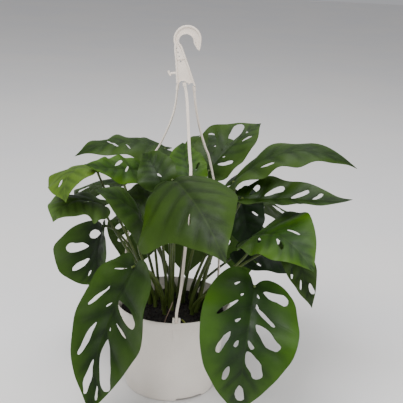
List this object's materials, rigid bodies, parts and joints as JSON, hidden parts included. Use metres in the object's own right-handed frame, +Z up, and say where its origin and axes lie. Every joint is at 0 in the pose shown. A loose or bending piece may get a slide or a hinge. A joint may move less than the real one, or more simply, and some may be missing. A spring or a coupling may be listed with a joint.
{
  "type": "potted monstera adansonii plant",
  "caption": "Young monstera adansonii with pierced, pointed leaves on slender stalks, growing in a round hanging pot with a moulded hook and flat strands.",
  "frame": {"origin": "middle of the pot's underside, on the surface that it stands on", "axes": "+Z up along the pot's axis; -Y towards the viewer's side, where the two largest leaves hang over the rim; +X to the viewer's right"},
  "size_m": [0.4314, 0.4061, 0.5334],
  "materials": {
    "pot": "warm white, matte, faintly speckled",
    "hanger": "off-white, satin",
    "soil": "moist dark peat",
    "blade": "green, slightly waxy",
    "stalk": "olive green, smooth",
    "root": "pinkish brown, dull",
    "shoot": "yellow green, smooth"
  },
  "bodies": {
    "root": {"aerial_root": "root", "hanger_hook": "hanger", "hanger_strand_back_left": "hanger", "hanger_strand_back_right": "hanger", "hanger_strand_front": "hanger", "leaf_back_centre": "blade", "leaf_back_left": "blade", "leaf_back_low_left": "blade", "leaf_back_low_right": "blade", "leaf_back_right": "blade", "leaf_back_top": "blade", "leaf_centre_upright": "blade", "leaf_curled_left": "blade", "leaf_folded_right": "blade", "leaf_gold_left": "blade", "leaf_hanging_right": "blade", "leaf_inner_left_dark": "blade", "leaf_inner_left_upper": "blade", "leaf_inner_right_dark": "blade", "leaf_long_right": "blade", "leaf_low_left": "blade", "leaf_low_right": "blade", "leaf_pale_left": "blade", "leaf_pierced_right": "blade", "leaf_round_left": "blade", "leaf_shaded_right": "blade", "leaf_shield_front": "blade", "leaf_slanting_left": "blade", "leaf_top_left": "blade", "leaf_top_right": "blade", "pot": "pot", "soil": "soil", "stalk_back_centre": "stalk", "stalk_back_left": "stalk", "stalk_back_low_left": "stalk", "stalk_back_low_right": "stalk", "stalk_back_right": "stalk", "stalk_back_top": "stalk", "stalk_centre_upright": "stalk", "stalk_curled_left": "stalk", "stalk_folded_right": "stalk", "stalk_gold_left": "stalk", "stalk_hanging_right": "stalk", "stalk_inner_left_dark": "stalk", "stalk_inner_left_upper": "stalk", "stalk_inner_right_dark": "stalk", "stalk_long_right": "stalk", "stalk_low_left": "stalk", "stalk_low_right": "stalk", "stalk_pale_left": "stalk", "stalk_pierced_right": "stalk", "stalk_round_left": "stalk", "stalk_shaded_right": "stalk", "stalk_shield_front": "stalk", "stalk_slanting_left": "stalk", "stalk_top_left": "stalk", "stalk_top_right": "stalk", "vine_left": "stalk", "vine_right": "stalk", "young_shoot": "shoot"}
  },
  "joints": []
}
